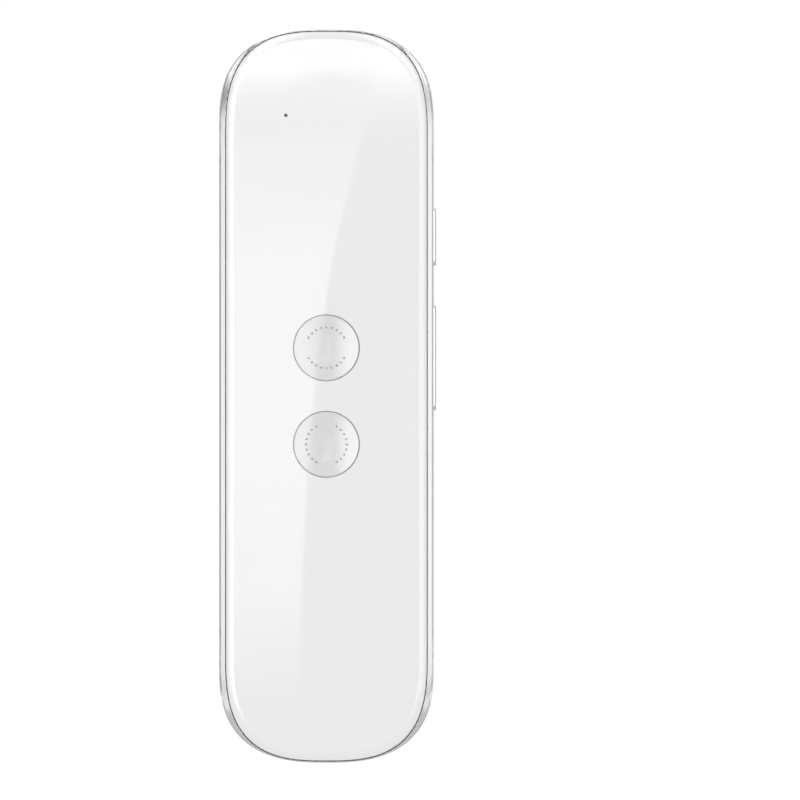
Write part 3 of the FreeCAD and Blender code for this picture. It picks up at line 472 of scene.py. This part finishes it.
finishes = {
    # Bead blasted and clear anodised: an even satin grey. The beads' pits of about 0.1 mm are
    # drawn at 0.22 mm, so that they show.
    "anodised_aluminium": makeFinish("anodised aluminium, bead blasted", {"Metallic": 1.0}, {
        "pattern": "grain", "size": 0.22, "depth": 0.0012, "patch": 9, "roughness": (0.27, 0.32),
        "tints": ("#CDCED0", "#D9DADB"),
    }),
    # Diamond cut after anodising: bright, with fine marks along it
    "silver_ring": makeFinish("anodised aluminium, diamond cut", {"Metallic": 1.0}, {
        "pattern": "brushed", "size": 0.12, "depth": 0.0003, "patch": 6, "roughness": (0.10, 0.16),
        "tints": ("#DCDDDF", "#E5E6E7"),
    }),
    # Printed white on its back and hard coated: a deep gloss with a slow waviness
    "white_panel": makeFinish("acrylic, white back print", {"IOR": 1.49}, {
        "pattern": "grain", "size": 14, "depth": 0.0005, "patch": 11, "roughness": (0.008, 0.02),
        "tints": ("#EEEEEF", "#F1F1F1"),
    }),
    "white_button": makeButtonFinish(),
    # As the case, with a finer blast
    "key_metal": makeFinish("anodised aluminium, fine blasted", {"Metallic": 1.0}, {
        "pattern": "grain", "size": 0.18, "depth": 0.0008, "patch": 4, "roughness": (0.22, 0.27),
        "tints": ("#CBCCCE", "#D7D8D9"),
    }),
    # Moulded against a spark-eroded wall: a fine matt texture
    "black_plastic": makeFinish("ABS, black, moulded", {"IOR": 1.53}, {
        "pattern": "grain", "size": 0.3, "depth": 0.006, "patch": 4, "roughness": (0.45, 0.6),
        "tints": ("#111112", "#181819"),
    }),
    # Glass-filled: dull, with a grey fleck
    "switch_plastic": makeFinish("PBT, glass filled, moulded", {"IOR": 1.58}, {
        "pattern": "cells", "size": 0.35, "depth": 0.004, "patch": 2, "roughness": (0.5, 0.65),
        "tints": ("#1B1B1C", "#29292A"),
    }),
    # Rolled strip: fine lines one way
    "spring_steel": makeFinish("stainless steel, rolled", {"Metallic": 1.0}, {
        "pattern": "brushed", "size": 0.08, "depth": 0.0008, "patch": 3, "roughness": (0.26, 0.34),
        "tints": ("#B4B3B0", "#C4C3C1"),
    }),
    # Green mask over woven glass: a weave faintly seen through a wet-looking coat
    "circuit_board": makeFinish("glass epoxy, solder mask", {"IOR": 1.55}, {
        "pattern": "weave", "size": 0.5, "depth": 0.004, "patch": 5, "roughness": (0.24, 0.34),
        "tints": ("#0B3A24", "#125034"),
    }),
    # Moulded compound: matt, finely pitted
    "chip_epoxy": makeFinish("epoxy, black, moulded", {"IOR": 1.55}, {
        "pattern": "grain", "size": 0.12, "depth": 0.003, "patch": 2, "roughness": (0.55, 0.68),
        "tints": ("#141415", "#1C1C1D"),
    }),
    # Plated tin: soft crystals with a dull shine
    "tin_plate": makeFinish("steel, tin plated", {"Metallic": 1.0}, {
        "pattern": "cells", "size": 0.8, "depth": 0.002, "patch": 3, "roughness": (0.28, 0.4),
        "tints": ("#BDBCB8", "#CDCCC8"),
    }),
    # Plated on rolled copper: bright, with faint lines
    "gold_plate": makeFinish("gold plate on copper", {"Metallic": 1.0}, {
        "pattern": "brushed", "size": 0.05, "depth": 0.0004, "patch": 1, "roughness": (0.16, 0.24),
        "tints": ("#D9B25A", "#E6C475"),
    }),
    # Acrylic foam: open cells along its edge
    "adhesive_tape": makeFinish("acrylic foam tape, black", {"IOR": 1.47}, {
        "pattern": "cells", "size": 0.15, "depth": 0.02, "patch": 2, "roughness": (0.7, 0.85),
        "tints": ("#232324", "#303031"),
    }),
    # Pressed silicone: soft and a little dusty
    "silicone_rubber": makeFinish("silicone rubber, pressed", {"IOR": 1.41}, {
        "pattern": "grain", "size": 0.2, "depth": 0.004, "patch": 1.5, "roughness": (0.5, 0.7),
        "tints": ("#3A3A3B", "#464647"),
    }),
    # Polyester gauze behind the grille: threads of 0.04 mm drawn 0.16 mm apart, nearly black
    "acoustic_mesh": makeFinish("polyester gauze, black, woven", {"IOR": 1.5, "Specular IOR Level": 0.2}, {
        "pattern": "weave", "size": 0.16, "depth": 0.03, "patch": 2, "roughness": (0.75, 0.9),
        "tints": ("#030303", "#0B0B0B"),
    }),
    # Laminate pouch: a dull foil, lightly creased
    "battery_foil": makeFinish("aluminium laminate, pressed", {"Metallic": 0.85}, {
        "pattern": "grain", "size": 2.5, "depth": 0.06, "patch": 6, "roughness": (0.32, 0.45),
        "tints": ("#BFC0C1", "#CFD0D1"),
    }),
    # Extruded PVC over a stranded core: slow rings along it
    "lead_insulation": makeFinish("PVC, red, extruded", {"IOR": 1.53}, {
        "pattern": "rings", "size": 0.6, "depth": 0.01, "patch": 1, "roughness": (0.35, 0.45),
        "tints": ("#8E1713", "#A51F1A"),
    }),
    # Ground, then bright nickel plated
    "magnet_nickel": makeFinish("nickel plate, ground", {"Metallic": 1.0}, {
        "pattern": "brushed", "size": 0.1, "depth": 0.0006, "patch": 3, "roughness": (0.12, 0.2),
        "tints": ("#B7B4AC", "#C5C2BA"),
    }),
    # Enamelled wire of 0.1 mm, turn by turn
    "copper_coil": makeFinish("copper wire, enamelled", {"Metallic": 1.0}, {
        "pattern": "rings", "size": 0.1, "depth": 0.03, "patch": 1, "roughness": (0.2, 0.3),
        "tints": ("#9C4A22", "#CB7440"),
    }),
    # Natural nylon: creamy, with a moulded mottle
    "connector_plastic": makeFinish("nylon, natural, moulded", {"IOR": 1.53, "Subsurface Weight": 0.1}, {
        "pattern": "grain", "size": 0.8, "depth": 0.004, "patch": 2, "roughness": (0.38, 0.5),
        "tints": ("#DDD8C9", "#E6E1D4"),
    }),
}

for node in nodes.values():
    for slot in node.material_slots:
        slot.material = finishes[slot.material.name.split(".")[0]]
print("materials made")


# Grey paint dots in the front buttons' dimples, in mm and degrees
dots = {
    "ring": 3.93,          # radius of the arcs they stand on, mm
    "radius": 0.2,
    "level": -5.765,       # along Y, just off the dimples' floors
    "crown": 0.03,
    "count": 9,
    "span": 120,
    "sides": 24,
    "profile": ((1.0, 0.0), (0.7, 0.6), (0.35, 0.9)),    # shares of the radius and the crown
    "colours": ("#B0B1B2", "#B9BABB"),
}


def makeDots(name, body, height, arcs):
    mesh = bpy.data.meshes.new(name)
    work = bmesh.new()
    for arc in arcs:
        for number in range(dots["count"]):
            turn = math.radians(arc + dots["span"] * (number / (dots["count"] - 1) - 0.5))
            across = dots["ring"] * math.cos(turn)
            middle = Vector((across, dots["level"], height + dots["ring"] * math.sin(turn)))
            rings = []
            for share, rise in dots["profile"]:
                rings.append([
                    work.verts.new((middle + Vector((
                        share * dots["radius"] * math.cos(2 * math.pi * side / dots["sides"]),
                        -rise * dots["crown"],
                        share * dots["radius"] * math.sin(2 * math.pi * side / dots["sides"]),
                    ))) * mm)
                    for side in range(dots["sides"])
                ])
            top = work.verts.new((middle - Vector((0, dots["crown"], 0))) * mm)
            for side in range(dots["sides"]):
                after = (side + 1) % dots["sides"]
                for outer, inner in zip(rings, rings[1:]):
                    work.faces.new((outer[side], outer[after], inner[after], inner[side]))
                work.faces.new((rings[-1][side], rings[-1][after], top))
    work.normal_update()
    work.to_mesh(mesh)
    work.free()
    mesh.shade_smooth()
    piece = bpy.data.objects.new(name, mesh)
    scene.collection.objects.link(piece)
    mesh.materials.append(dotPaint)
    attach(piece, body)


# Pad-printed grey: a soft satin, a little uneven
dotPaint = makeFinish("acrylic paint, grey, pad printed", {"IOR": 1.5}, {
    "pattern": "grain", "size": 0.08, "depth": 0.002, "patch": 0.6, "roughness": (0.35, 0.5),
    "tints": dots["colours"],
})
makeDots("upper_dots", "upper_key", buttons["height"], (90, 270))
makeDots("lower_dots", "lower_key", -buttons["height"], (0, 180))
print("dots made")
